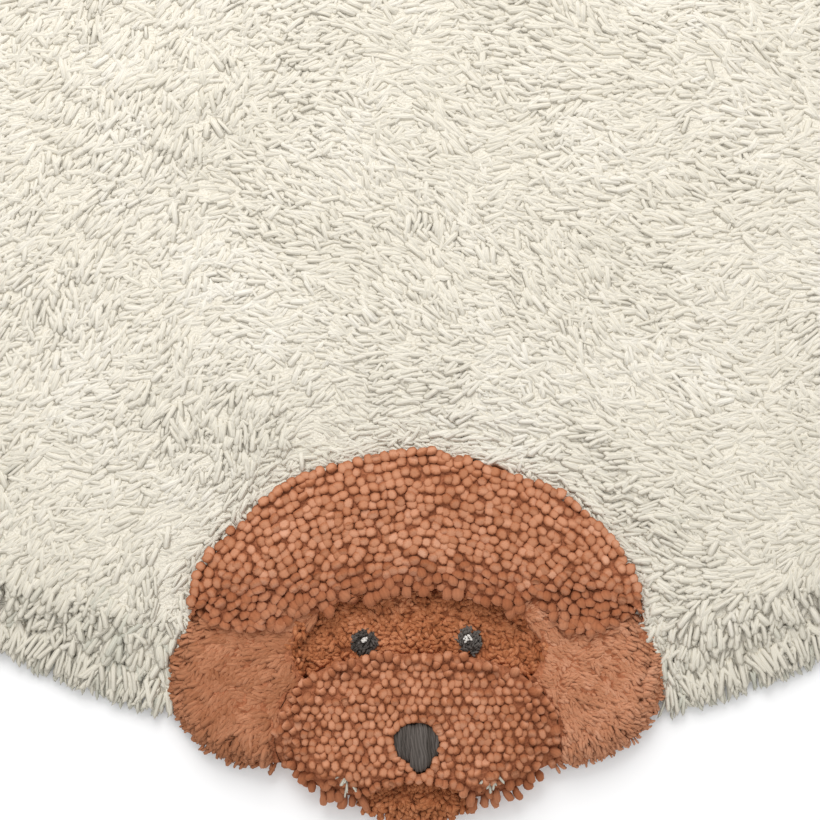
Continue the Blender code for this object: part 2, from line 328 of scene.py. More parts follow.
def yarnMaterial(name, look):
    # tint from the map's width, times painted shade that darkens each copy towards its root from
    # its height, and the grooves between plies darkened as painted shade
    material = bpy.data.materials.new(name)
    material.use_nodes = True
    tree = material.node_tree
    shader = tree.nodes["Principled BSDF"]
    place = addNode(tree, "ShaderNodeUVMap", (-1700, 0), uv_map=mapName)
    parts = addNode(tree, "ShaderNodeSeparateXYZ", (-1500, 0))
    tint = addNode(tree, "ShaderNodeValToRGB", (-900, 400))
    depth = addNode(tree, "ShaderNodeValToRGB", (-900, 150))
    fillRamp(tint, look["tints"])
    fillRamp(depth, look["depths"])
    tree.links.new(place.outputs["UV"], parts.inputs["Vector"])
    tree.links.new(parts.outputs["X"], tint.inputs["Fac"])
    tree.links.new(parts.outputs["Y"], depth.inputs["Fac"])
    mixed = multiplyNode(tree, (-550, 300), 1, tint.outputs["Color"], depth.outputs["Color"])

    scaled = addNode(tree, "ShaderNodeMapping", (-1500, -300))
    scaled.inputs["Scale"].default_value = (look["plies"] / tintWidth, look["flecks"], 1)
    uneven = addNode(tree, "ShaderNodeTexNoise", (-1300, -300), noise_dimensions="2D")
    uneven.inputs["Scale"].default_value = 1
    uneven.inputs["Detail"].default_value = 2
    tree.links.new(place.outputs["UV"], scaled.inputs["Vector"])
    tree.links.new(scaled.outputs["Vector"], uneven.inputs["Vector"])
    turn = 2 * math.pi
    phase = sumNode(tree, (-1100, -200), uneven.outputs["Fac"], look["fray"], 0)
    phase = sumNode(tree, (-950, -200), parts.outputs["Y"], look["turns"] * turn, phase)
    phase = sumNode(tree, (-800, -200), parts.outputs["X"], look["plies"] * turn / tintWidth, phase)
    wave = addNode(tree, "ShaderNodeMath", (-650, -200), operation="SINE")
    groove = addNode(tree, "ShaderNodeMapRange", (-500, -200))
    groove.inputs["From Min"].default_value = -1
    tree.links.new(phase, wave.inputs[0])
    tree.links.new(wave.outputs[0], groove.inputs["Value"])

    # painted shade: the grooves between the plies darken the colour
    shaded = multiplyNode(
        tree, (-250, 200), look["grooveShade"], mixed, groove.outputs["Result"])
    tree.links.new(shaded, shader.inputs["Base Color"])
    bump = addNode(tree, "ShaderNodeBump", (-250, -300))
    bump.inputs["Strength"].default_value = look["bump"]
    bump.inputs["Distance"].default_value = look["bumpDepth"]
    rough = addNode(tree, "ShaderNodeMapRange", (-250, -50))
    rough.inputs["To Min"].default_value = 0.98
    rough.inputs["To Max"].default_value = 0.86
    tree.links.new(groove.outputs["Result"], bump.inputs["Height"])
    tree.links.new(groove.outputs["Result"], rough.inputs["Value"])
    tree.links.new(rough.outputs["Result"], shader.inputs["Roughness"])
    tree.links.new(bump.outputs["Normal"], shader.inputs["Normal"])
    shader.inputs["Sheen Weight"].default_value = look["sheen"]
    shader.inputs["Sheen Roughness"].default_value = 0.6
    shader.inputs["Sheen Tint"].default_value = colour(*look["tints"][1][1])
    shader.inputs["Specular IOR Level"].default_value = 0.06
    return material


# Strands that lie over, for the shag and the cut pile

def lyingStrands(patch, places, tops, headings, chance, scales=1.0):
    # each strand rises from the pile, bends over and lies along its heading, drawn to the
    # others of its tuft; gives its points and tints
    count = len(places)
    tufts = hexPlaces(places.min(0) - 0.02, places.max(0) + 0.02, patch["tuft"], chance, 0.4)
    aside, which, towards = nearest(kdTree(tufts), places)
    turns = chance.normal(0, patch["tuftTurn"], len(tufts))[which]
    turns = turns + chance.normal(0, patch["strandTurn"], count)
    headings = turnedBy(headings, turns)
    square = np.stack([-headings[:, 1], headings[:, 0]], 1)

    lengths = patch["length"] * scales * (1 + patch["lengthSpread"] * chance.uniform(-1, 1, count))
    widths = patch["width"] * scales * (1 + patch["widthSpread"] * chance.uniform(-1, 1, count))
    heights = tops + patch["tuftHeight"] * (0.6 - aside / patch["tuft"])
    heights = heights + patch["tuftSpread"] * chance.normal(0, 1, len(tufts))[which]
    drawn = ((towards * square).sum(1) * aside * patch["tuftPull"])[:, None] * square
    curl = (chance.normal(0, patch["curl"], count) * lengths)[:, None] * square
    drops = patch["drop"] + patch["dropSpread"] * np.abs(chance.normal(0, 1, count))
    ahead = headings * lengths[:, None]

    roots = np.column_stack([places, tops - patch["rootDepth"]])
    middles = np.column_stack([places + ahead * 0.45 + drawn * 0.5 + curl, heights + patch["rise"]])
    ends = np.column_stack([places + ahead + drawn, np.maximum(heights - drops, lowestTip)])
    lines = arcs(patch["template"], roots, middles, ends)
    wave = patch.get("wave", 0)
    if wave:
        swing = np.sin(patch["template"]["along"] * 2 * math.pi) * wave
        sway = chance.normal(0, 1, count)[:, None, None] * swing[None, :, None]
        lines[:, :, :2] += sway * square[:, None, :] * lengths[:, None, None]
    sideways = np.column_stack([square, np.zeros(count)])
    points = bentCopies(patch["template"], lines, sideways, widths, widths * patch["flat"])
    tints = 0.5 + patch["tuftTint"] * chance.normal(0, 1, len(tufts))[which]
    tints = tints + patch["strandTint"] * chance.normal(0, 1, count)
    tints = tints + patch["fieldTint"] * swirl(places, patch["fieldSize"], 5.5)
    low, high = patch.get("fieldTints", (0, 1))
    return points, low + (high - low) * np.clip(tints, 0, 1)


def patchPlaces(node, spacing, jitter, chance):
    # places all over a patch of the head, and the CAD's height there
    low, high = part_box(node)
    places = hexPlaces(low.xy, high.xy, spacing, chance, jitter)
    tops = topHeights(topTree(node), places)
    there = tops > pileFrom
    return places[there], tops[there]


# The cream shag

# the tints' first stop is painted shade for the strands at the rim, and the depths are a faint
# painted shade towards each strand's root
shagLook = dict(
    tints=[(0.0, (184, 186, 173)), (0.24, (217, 211, 196)), (0.62, (225, 219, 205)),
           (1.0, (233, 228, 217))],
    depths=[(0.0, (252, 248, 240)), (0.30, (255, 255, 255)), (0.5, (255, 255, 255))], plies=6,
    turns=0.5, flecks=7, fray=7.0, grooveShade=0.12, bump=0.35, bumpDepth=0.0005, sheen=0.5)
shag = dict(
    seed=21, template=makeTemplate(3, [(0.28, 0.92), (0.87, 0.88)]),
    focus=(0.0, -0.40),  # the strands stand closest here, where the photo looks
    spacing=0.0036,
    spread=0.46,  # how much wider they stand and grow, per metre from the focus
    jitter=0.30, fieldRadius=0.579, length=0.0140, lengthSpread=0.40, width=0.0046,
    widthSpread=0.42, flat=0.38,
    rootDepth=0.0060,  # below the CAD's top
    rise=0.0021,  # of the strand's back above the CAD's top
    drop=0.0028,  # of the strand's end
    dropSpread=0.0008, tuft=0.0100, tuftTurn=0.42, strandTurn=0.32,
    tuftPull=0.22,  # how far a tuft's tips draw together
    tuftHeight=0.0006, tuftSpread=0.0003, curl=0.22, tuftTint=0.10, strandTint=0.10,
    fieldTint=0.22, fieldSize=0.06,
    combed=2.93,  # radians, the way that the field is combed
    leftTurn=(-0.02, 0.14),  # where it starts to turn down at the left, and over how much
    swirls=[(0.13, 0.55, 3.5), (0.045, 0.40, 9.5)],  # size, strength and layer
    outward=(0.50, 0.575),  # radii between which the strands turn outward
    rimDrop=0.0055,
    rimBend=(0.555, 0.03),  # the radius where the tips start to drop, and over how much
    paintedRimShade=(0.44, 0.14, 0.26),  # painted shade towards the rim: where the field darkens, over how much and how far
    # darkest is the least tint that the painted rim shade leaves
    darkest=0.10, fieldTints=(0.24, 1.0))
# the rim's strands take the tints' first stops, painted shade where the pile bends down over the
# rim
rimShag = dict(
    shag, rows=(0.5740, 0.5790, 0.5830, 0.5865), tips=0.6040, spacing=0.0029, length=0.0215,
    lengthSpread=0.12, width=0.0041, widthSpread=0.3, tuft=0.010, tuftTurn=0.26,
    strandTurn=0.24, tuftPull=0.10, rootDepth=0.0040, rise=0.0010,
    drop=0.0064, dropSpread=0.0010, tuftHeight=0.0005, fieldTints=(0.0, 0.30),
    stack=0.0040,  # how much higher the innermost row's tips lie than the outermost's
    # the last value: how much lighter the inner rows are painted, with less painted shade
    stackOver=0.012, innerLessShade=0.26)
edgeShag = dict(  # along the head's outline
    shag, spacing=0.0030, beyond=(0.0008, 0.0030, 0.0056), length=0.0120, lengthSpread=0.3,
    width=0.0042, rise=0.0030, drop=0.0026, fieldTints=(0.24, 0.9))
wisps = dict(  # beside the chin, with tints from the ramp's painted-shade end
    edgeShag, middles=((-0.0440, headY - 0.0750), (0.0480, headY - 0.0750)), count=8,
    reach=(0.0030, 0.0040), length=0.0090, width=0.0021, lift=-0.0010, fieldTints=(0.0, 0.3))


def shagHeading(places):
    # combed across the field and down at the left, with slow swirls; outward near the rim
    start, over = shag["leftTurn"]
    turn = shag["combed"] + smoothStep((start - places[:, 0]) / over)
    for size, strength, layer in shag["swirls"]:
        turn = turn + strength * swirl(places, size, layer)
    outward = np.arctan2(places[:, 1], places[:, 0])
    low, high = shag["outward"]
    share = smoothStep((np.linalg.norm(places, axis=1) - low) / (high - low))
    change = (outward - turn + math.pi) % (2 * math.pi) - math.pi
    turn = turn + change * share
    return np.stack([np.cos(turn), np.sin(turn)], 1)


def shagPlaces(chance):
    # a triangular grid that widens away from the focus, with each place's own scale
    reach = 1.1
    flat = hexPlaces((-reach, -reach), (reach, reach), shag["spacing"], chance, shag["jitter"])
    far = np.linalg.norm(flat, axis=1)
    places = flat * (1 + shag["spread"] * far)[:, None] + shag["focus"]
    scales = np.sqrt((1 + shag["spread"] * far) * (1 + 2 * shag["spread"] * far))
    inside = np.linalg.norm(places, axis=1) < shag["fieldRadius"]
    return places[inside], scales[inside]


def rimPlaces(chance):
    # rows round the cloth's edge, whose strands all end at the rug's rim
    places, scales = [], []
    for radius in rimShag["rows"]:
        count = int(2 * math.pi * radius / rimShag["spacing"])
        turns = (np.arange(count) + chance.uniform(-0.3, 0.3, count)) / count * 2 * math.pi
        places.append(np.stack([np.cos(turns), np.sin(turns)], 1) * radius)
        tips = rimShag["tips"] - (rimShag["rows"][-1] - radius) * 0.5
        scales.append(np.full(count, (tips - radius) / rimShag["length"]))
    return np.concatenate(places), np.concatenate(scales)


def rimStrands(chance, tree):
    places, scales = rimPlaces(chance)
    tops = topHeights(tree, places)
    onPile = tops > shagFrom
    places, scales, tops = places[onPile], scales[onPile], tops[onPile]
    points, tints = lyingStrands(rimShag, places, tops, unit(places), chance, scales)
    # painted shade: the outer rows keep the darkest tints, and the inner rows are painted lighter
    within = rimShag["rows"][-1] + 0.002 - np.linalg.norm(places, axis=1)
    within = smoothStep(within / rimShag["stackOver"])
    lowerTips(rimShag["template"], points, -rimShag["stack"] * within)
    return places, points, 0.5 * tints + rimShag["innerLessShade"] * within


def headEdgeStrands(chance, tree):
    # cream strands that lie along the head's outline and close the pile there
    places, outward = [], []
    beside = ("crown", "ear_left", "ear_right")
    for name in beside:
        ring = outlinePlaces(name, edgeShag["spacing"])
        ways = ovalShare(name, ring)[1]
        for beyond in edgeShag["beyond"]:
            places.append(ring + ways * beyond)
            outward.append(ways)
    places, outward = np.concatenate(places), np.concatenate(outward)
    shares = [ovalShare(name, places)[0] for name in beside]
    tops = topHeights(tree, places)
    free = (np.min(shares, axis=0) > 1) & (tops > shagFrom)
    places, outward, tops = places[free], outward[free], tops[free]
    sense = np.sign(swirl(places, 0.03, 15.5))[:, None]
    along = np.stack([-outward[:, 1], outward[:, 0]], 1) * sense
    headings = unit(along - outward * chance.uniform(0.0, 0.9, (len(places), 1)))
    points, tints = lyingStrands(edgeShag, places, tops, headings, chance)
    return places, points, tints


def wispStrands(chance):
    # a few cream strands between the knobs on both sides of the chin
    places = np.concatenate([
        np.array(middle) + chance.uniform(-1, 1, (wisps["count"], 2)) * wisps["reach"]
        for middle in wisps["middles"]])
    tops = topHeights(topTree("muzzle"), places) + wisps["lift"]
    headings = unit(np.array((0.0, -1.0)) + chance.normal(0, 0.4, places.shape))
    points, tints = lyingStrands(wisps, places, tops, headings, chance)
    return places, points, tints


def makeShag():
    chance = np.random.default_rng(shag["seed"])
    places, scales = shagPlaces(chance)
    tree = topTree("rug")
    tops = topHeights(tree, places)
    onPile = tops > shagFrom
    places, scales, tops = places[onPile], scales[onPile], tops[onPile]
    radius = np.linalg.norm(places, axis=1)
    start, over = shag["rimBend"]
    drops = smoothStep((radius - start) / over) * shag["rimDrop"]
    points, tints = lyingStrands(shag, places, tops, shagHeading(places), chance, scales)
    lowerTips(shag["template"], points, drops)
    # painted shade: the field's tints darken towards the rim, no lower than darkest
    start, over, shade = shag["paintedRimShade"]
    tints = np.maximum(tints - shade * smoothStep((radius - start) / over), shag["darkest"])
    made = [(places, points, tints), rimStrands(chance, tree), headEdgeStrands(chance, tree),
            wispStrands(chance)]
    places, points, tints = (np.concatenate(parts) for parts in zip(*made))

    material = yarnMaterial("cream_shag", shagLook)
    turn = np.arctan2(places[:, 1], places[:, 0]) / (2 * math.pi) + 0.5
    quarter = np.floor(turn * 4 % 4)
    pieces = []
    for i in range(4):
        mine = quarter == i
        pieces.append(joinCopies(
            "shag_%d" % (i + 1), shag["template"], points[mine], tints[mine], material))
    return pieces


shagPieces = makeShag()


# The knobs of the crown and the muzzle

knobLook = dict(
    tints=[(0.0, (168, 110, 78)), (0.5, (193, 136, 105)), (1.0, (211, 160, 132))],
    # painted shade: the depths darken each knob's sides and the creases between knobs towards the
    # root
    depths=[(0.50, (204, 180, 162)), (0.82, (220, 200, 184)), (0.90, (238, 225, 215)),
            (0.96, (255, 255, 255))],
    plies=8, turns=1.5, flecks=5, fray=3.5, grooveShade=0.09, bump=0.25, bumpDepth=0.0004,
    sheen=0.15)
knob = makeTemplate(8, [(0.20, 0.76), (0.48, 0.95), (0.73, 1.0), (0.89, 0.86), (0.967, 0.54)])
crown = dict(
    seed=5, inset=0.0028,
    arch=(-40, 220),  # degrees that a row covers
    edge=0.97,  # where the outermost knobs' height is read, as a share of the outline
    warp=0.0026,  # how far the rows wander
    spacing=0.0058,  # along a row
    rowStep=0.0055, jitter=0.0007, length=0.0105, lengthSpread=0.15, width=0.0076, depth=0.0069,
    sizeSpread=0.14, swell=0.07, square=0.03, heightSpread=0.0004, wobble=0.0003, lean=0.07,
    onEar=0.0022,  # how far the knobs over an ear stand above its top
    outFrom=0.70,  # the share of the outline where the knobs start to lean out
    outLean=(0.02, 0.26),
    # the knobs that lean over the eyes, and over the ears
    browReach=0.75, browLean=0.46, browSpread=0.6, browFall=0.4, earFrom=0.9, earHang=0.45,
    sideFrom=0.125,  # past this the crown's front corners are the ears' pile
    # the border between the knobs and the ears' pile: a curve that wanders
    borderFront=headY + 0.020, borderAside=0.108, borderBend=15, borderWander=0.003,
    rise=0.0040, droop=0.0020,
    fall=0.0060,  # of the knobs that hang over an edge
    root=0.0075, tint=0.40, tintSpread=0.15)
muzzle = dict(
    crown, seed=6, spacing=0.0052, stretch=1.14, jitter=0.15, width=0.0058, depth=0.0071,
    lean=0.12, heightSpread=0.0003, length=0.0100, tint=0.32, tintSpread=0.12,
    lowFrom=headY - 0.068,  # where the front rim starts, whose knobs hang over the floor
    edges=(0.945, 0.985),  # the outermost knobs' shares of the outline there, and elsewhere
    rimFrom=0.72, rimOver=0.18, rimLean=0.2, lowLean=0.50, cornerLean=0.45, rimRag=0.10,
    corner=(0.052, 0.015),  # how far aside the knobs lean most, and over how much
    overChin=0.40, chinRing=0.0012,  # how far the knobs along the chin stand outside it
    ring=0.90, clear=0.74,  # beside the nose: the ring's spacing and free room, by the field's
    besideLobe=((-0.0092, headY - 0.0672), (0.0116, headY - 0.0662)))


def archedPlaces(chance):
    # rows that follow the crown's outline, one inside the other
    outline = outlines["crown"]
    start, end = crown["arch"]
    angles = np.linspace(math.radians(start), math.radians(end), 900)
    bent = [np.sign(part) * np.abs(part) ** (2 / outline["power"])
            for part in (np.cos(angles), np.sin(angles))]
    rows = []
    inset = crown["inset"]
    while inset < outline["up"] - 0.004:
        high = np.where(bent[1] > 0, outline["up"] - inset, max(outline["down"] - inset, 0.002))
        row = np.stack([bent[0] * (outline["wide"] - inset), bent[1] * high], 1)
        lengths = np.concatenate([[0], np.cumsum(np.linalg.norm(np.diff(row, axis=0), axis=1))])
        marks = np.arange(chance.uniform(0, crown["spacing"]), lengths[-1], crown["spacing"])
        found = [np.interp(marks, lengths, row[:, i]) for i in (0, 1)]
        rows.append(np.stack(found, 1))
        inset += crown["rowStep"]
    places = np.concatenate(rows) + np.array(outline["middle"])
    wander = np.stack([swirl(places, 0.024, 21.5), swirl(places, 0.024, 33.5)], 1)
    return places + crown["warp"] * wander + chance.normal(0, crown["jitter"], places.shape)


def onPatch(*nodes):
    tree = topTree(*nodes)
    return lambda places: topHeights(tree, places) > pileFrom


def standingKnobs(patch, places, tops, leans, rows, hanging, chance):
    # fat knobs of yarn: upright where lean is 0, laid over where it is 1, wide along the rows;
    # hanging says how far each one's end falls over an edge
    count = len(places)
    lengths = patch["length"] * (1 + patch["lengthSpread"] * chance.uniform(-1, 1, count))
    lying = np.linalg.norm(leans, axis=1)
    heights = tops + patch["heightSpread"] * chance.normal(0, 1, count)
    roots = np.column_stack([places, heights - patch["root"]])
    middles = np.column_stack([
        places + leans * (0.4 * lengths)[:, None],
        heights - 0.4 * patch["root"] + (0.4 * patch["root"] + patch["rise"]) * lying])
    ends = np.column_stack([
        places + leans * lengths[:, None],
        heights - patch["droop"] * lying - patch["fall"] * hanging])
    lines = arcs(knob, roots, middles, ends)
    lines[:, 1:-3, :2] += chance.normal(0, patch["wobble"], lines[:, 1:-3, :2].shape)
    ways = unit(ends - roots)
    sideways = np.column_stack([rows + chance.normal(0, 0.25, rows.shape), np.zeros(count)])
    over = np.column_stack([-leans[:, 1], leans[:, 0], np.zeros(count)])
    turned = np.sign((over * sideways).sum(1))[:, None]
    sideways = sideways + over * turned * 3
    sideways = sideways - ways * (ways * sideways).sum(1)[:, None]
    widths = patch["width"] * (1 + patch["sizeSpread"] * chance.uniform(-1, 1, count))
    depths = patch["depth"] * (1 + patch["sizeSpread"] * chance.uniform(-1, 1, count))
    angle, t = knob["angle"], knob["along"][knob["station"]]
    first, second = chance.uniform(0, 2 * math.pi, (2, count, 1))
    swell = 1 + patch["swell"] * (np.cos(2 * angle + first + 2 * t)
                                  + 0.7 * np.cos(3 * angle + second - 3 * t))
    swell = swell - patch["square"] * np.cos(4 * angle)
    points = bentCopies(knob, lines, sideways, widths, depths, swell)
    points[:, :, 2] = np.maximum(points[:, :, 2], lowest)
    # painted light: knobs that lie over are tinted lighter, to offset the shade on them
    tints = patch["tint"] + patch["tintSpread"] * chance.normal(0, 1, count) + 0.45 * lying
    return points, np.clip(tints + 0.10 * swirl(places, 0.03, 2.5), 0, 1)


def earBorder(places):
    # how far front the crown's knobs go before they give way to the ears' pile
    aside = np.abs(places[:, 0]) - crown["borderAside"]
    border = crown["borderFront"] + crown["borderBend"] * aside ** 2
    return border + crown["borderWander"] * swirl(places, 0.02, 7.5)


def makeCrown():
    chance = np.random.default_rng(crown["seed"])
    places = archedPlaces(chance)
    middle = np.array(outlines["crown"]["middle"])
    share = ovalShare("crown", places)[0]
    inner = middle + (places - middle) / np.maximum(share / crown["edge"], 1)[:, None]
    onEar = onPatch("ear_left", "ear_right")(inner) & (inner[:, 1] > earBorder(inner))
    onCrown = onPatch("crown")(inner)
    onCrown &= (np.abs(inner[:, 0]) < crown["sideFrom"]) | (inner[:, 1] > earBorder(inner))
    there = onCrown | onEar
    places, inner = places[there], inner[there]
    tops = topHeights(topTree("crown", "ear_left", "ear_right"), inner)
    tops += crown["onEar"] * ~onCrown[there]
    share, outward = ovalShare("crown", places)
    out = smoothStep((share - crown["outFrom"]) / (1 - crown["outFrom"]))
    out = out * chance.uniform(*crown["outLean"], len(places))
    browShare, fromBrow = ovalShare("eye_band", places)
    near = (1 - smoothStep((browShare - 1) / crown["browReach"])) * (places[:, 1] > headY)
    over = near * crown["browLean"]
    over = over * (1 + crown["browSpread"] * chance.uniform(-1, 1, len(places)))
    earShare = np.minimum(ovalShare("ear_left", places)[0], ovalShare("ear_right", places)[0])
    hang = (1 - smoothStep((earShare - crown["earFrom"]) / 0.45)) * crown["earHang"]
    leans = outward * (out * (1 - hang))[:, None] - fromBrow * over[:, None]
    leans[:, 1] -= hang * (1 - over)
    leans += chance.normal(0, crown["lean"], leans.shape)
    rows = np.column_stack([-outward[:, 1], outward[:, 0]])
    hanging = smoothStep((near - 0.6) / 0.4) * crown["browFall"]
    points, tints = standingKnobs(crown, places, tops, leans, rows, hanging, chance)
    return joinCopies("crown_knobs", knob, points, tints, knobMaterial, ["crown"])


def noseRing(spacing):
    # the knobs that stand against the nose, and along the chin
    nose, lobe, chin = (outlinePlaces(name, spacing) for name in ("noseRoom", "lobeRoom", "chin"))
    nose = nose[ovalShare("lobeRoom", nose)[0] > 1]
    lobe = lobe[ovalShare("noseRoom", lobe)[0] > 1.02]
    chin = chin + ovalShare("chin", chin)[1] * muzzle["chinRing"]
    chin = chin[(ovalShare("muzzle", chin)[0] < 0.97) & (ovalShare("lobeRoom", chin)[0] > 1.1)]
    return np.concatenate([nose, lobe, chin, muzzle["besideLobe"]])


def makeMuzzle():
    chance = np.random.default_rng(muzzle["seed"])
    low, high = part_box("muzzle")
    stretch = np.array((1, muzzle["stretch"]))
    places = stretch * hexPlaces(np.array(low.xy) / stretch, np.array(high.xy) / stretch,
                                 muzzle["spacing"], chance, muzzle["jitter"])
    there = onPatch("muzzle", "nose")(places)
    low = places[:, 1] < muzzle["lowFrom"]
    there &= ovalShare("muzzle", places)[0] < np.where(low, *muzzle["edges"])
    clear = (ovalShare("noseRoom", places)[0] > 1) & (ovalShare("lobeRoom", places)[0] > 1)
    beside = noseRing(muzzle["spacing"] * muzzle["ring"])
    clear &= nearest(kdTree(beside), places)[0] > muzzle["spacing"] * muzzle["clear"]
    places = np.concatenate([places[there & clear], beside])
    tree = topTree("muzzle", "nose")
    steps = np.array([(0, 0), (0.002, 0), (-0.002, 0), (0, 0.002), (0, -0.002)])
    besideTops = np.max([topHeights(tree, beside + step) for step in steps], axis=0)
    tops = topHeights(tree, places)
    tops[-len(beside):] = besideTops  # some of these stand over the gap beside the nose
    tops = np.minimum(tops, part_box("muzzle")[1].z)
    share, outward = ovalShare("muzzle", places)
    low = places[:, 1] < muzzle["lowFrom"]
    atRim = smoothStep((share - muzzle["rimFrom"]) / muzzle["rimOver"])
    aside, over = muzzle["corner"]
    corner = np.exp(-((np.abs(places[:, 0]) - aside) / over) ** 2)
    rimLean = np.where(low, muzzle["lowLean"] + muzzle["cornerLean"] * corner, muzzle["rimLean"])
    ways = unit(outward * 0.5 + (0, -0.6))
    ways = np.where(low[:, None], ways, outward)
    leans = ways * (atRim * rimLean)[:, None]
    chinShare, fromChin = ovalShare("chin", places)
    leans -= fromChin * (muzzle["overChin"] * (1 - smoothStep((chinShare - 1) / 0.30)))[:, None]
    ragged = muzzle["lean"] + muzzle["rimRag"] * atRim
    leans += chance.normal(0, 1, leans.shape) * ragged[:, None]
    rows = np.tile([1.0, 0.0], (len(places), 1))
    points, tints = standingKnobs(muzzle, places, tops, leans, rows, atRim * low, chance)
    return joinCopies(
        "muzzle_knobs", knob, points, tints, knobMaterial, ["muzzle"])


knobMaterial = yarnMaterial("rust_knobs", knobLook)
crownKnobs = makeCrown()
muzzleKnobs = makeMuzzle()


# The ears' brushed pile

earLook = dict(
    tints=[(0.0, (158, 103, 72)), (0.5, (189, 132, 100)), (1.0, (209, 156, 126))],
    # painted shade: the depths darken the strands towards the root
    depths=[(0.0, (218, 194, 180)), (0.40, (242, 233, 228)), (0.70, (255, 255, 255))], plies=4,
    turns=0.5, flecks=6, fray=3.0, grooveShade=0.06, bump=0.4, bumpDepth=0.0004, sheen=0.25)
ears = dict(
    seed=8, template=makeTemplate(3, [(0.22, 0.85), (0.55, 1.0), (0.90, 0.85)]), spacing=0.0018,
    jitter=0.40, length=0.0115, lengthSpread=0.3, width=0.0043, widthSpread=0.30, flat=0.38,
    rootDepth=0.0045, rise=0.0018, drop=0.0020, dropSpread=0.0006, rimDrop=0.0070,
    besideBand=(0.0008, 0.0018),  # extra roots along the eye band's outline
    rimShort=0.38,
    edge=0.965,  # the outermost roots' share of the outline
    tuft=0.0065, tuftTurn=0.36, strandTurn=0.26, tuftPull=0.5, tuftHeight=0.0009,
    tuftSpread=0.0004, curl=0.12, wave=0.05, tuftTint=0.10, strandTint=0.06, fieldTint=0.12,
    fieldSize=0.025, fanFrom=(0.0, headY + 0.055), swirlTurn=0.5, swirlSize=0.030,
    rimFrom=0.72,  # the share of the outline where the pile starts to bend down
    rimOver=0.24,
    bySide={"ear_left": (1.0, -0.32), "ear_right": (0.80, 0.06)})  # size and tint
earMaterial = yarnMaterial("rust_cut_pile", earLook)


def makeEar(node, side):
    chance = np.random.default_rng(ears["seed"] + (side > 0))
    places, tops = patchPlaces(node, ears["spacing"], ears["jitter"], chance)
    inside = (ovalShare(node, places)[0] < ears["edge"]) & (places[:, 1] < earBorder(places))
    beside, besideTops = patchPlaces("crown", ears["spacing"], ears["jitter"], chance)
    tab = (beside[:, 0] * side > crown["sideFrom"]) & (beside[:, 1] < earBorder(beside))
    tab &= ovalShare("crown", beside)[0] < ears["edge"]
    line = outlinePlaces("eye_band", ears["spacing"] * 0.8)
    ways = ovalShare("eye_band", line)[1]
    border = np.concatenate([line + ways * beyond for beyond in ears["besideBand"]])
    borderTops = topHeights(topTree(node), border)
    atBand = (borderTops > pileFrom) & (border[:, 1] < earBorder(border))
    places = np.concatenate([places[inside], beside[tab], border[atBand]])
    tops = np.concatenate([tops[inside], besideTops[tab], borderTops[atBand]])
    fan = unit(places - np.array(ears["fanFrom"]))
    headings = turnedBy(fan, ears["swirlTurn"] * swirl(places, ears["swirlSize"], 4.5))
    share, outward = ovalShare(node, places)
    crownShare, fromCrown = ovalShare("crown", places)
    onTab = crownShare < share
    share = np.where(onTab, crownShare, share)
    outward = np.where(onTab[:, None], fromCrown, outward)
    atRim = smoothStep((share - ears["rimFrom"]) / ears["rimOver"])
    atRim = atRim * np.clip((outward * headings).sum(1), 0, 1)
    size, tint = ears["bySide"][node]
    scales = size * (1 - ears["rimShort"] * atRim)
    points, tints = lyingStrands(ears, places, tops, headings, chance, scales)
    tints = np.clip(tints + tint, 0, 1)
    lowerTips(ears["template"], points, atRim * ears["rimDrop"])
    return joinCopies(
        node + "_pile", ears["template"], points, tints, earMaterial, [node])


earPieces = [makeEar("ear_left", -1), makeEar("ear_right", 1)]


# The low dark pile round the eyes and on the chin

lowLook = dict(
    tints=[(0.0, (150, 91, 57)), (0.5, (182, 117, 79)), (1.0, (205, 141, 103))],
    # painted shade: the depths darken the strands towards the root
    depths=[(0.0, (220, 192, 172)), (0.40, (242, 230, 223)), (0.70, (255, 255, 255))], plies=5,
    turns=1, flecks=6, fray=3.0, grooveShade=0.14, bump=0.4, bumpDepth=0.0004, sheen=0.2)
lowPile = dict(
    template=makeTemplate(4, [(0.22, 0.85), (0.55, 1.0), (0.85, 0.9)]), spacing=0.0020,
    jitter=0.42, length=0.0060, lengthSpread=0.35, width=0.0032, widthSpread=0.25, flat=0.70,
    rootDepth=0.0040, rise=0.0022, drop=0.0012, dropSpread=0.0008, tuft=0.0050, tuftTurn=0.7,
    strandTurn=0.45, tuftPull=0.4, tuftHeight=0.0012, tuftSpread=0.0006, curl=0.20,
    tuftTint=0.14, strandTint=0.14, fieldTint=0.14, fieldSize=0.018,
    parting=0.03,  # how far from the middle a strand may still lie to the other side
    # rings inside the band's outline, and how far each stands above the band
    toEars=[(0.0002, 0.0068), (0.0016, 0.0054), (0.0032, 0.0036), (0.0050, 0.0016)],
    ringSpacing=0.9, ringTurn=0.5)
lowMaterial = yarnMaterial("dark_rust_pile", lowLook)


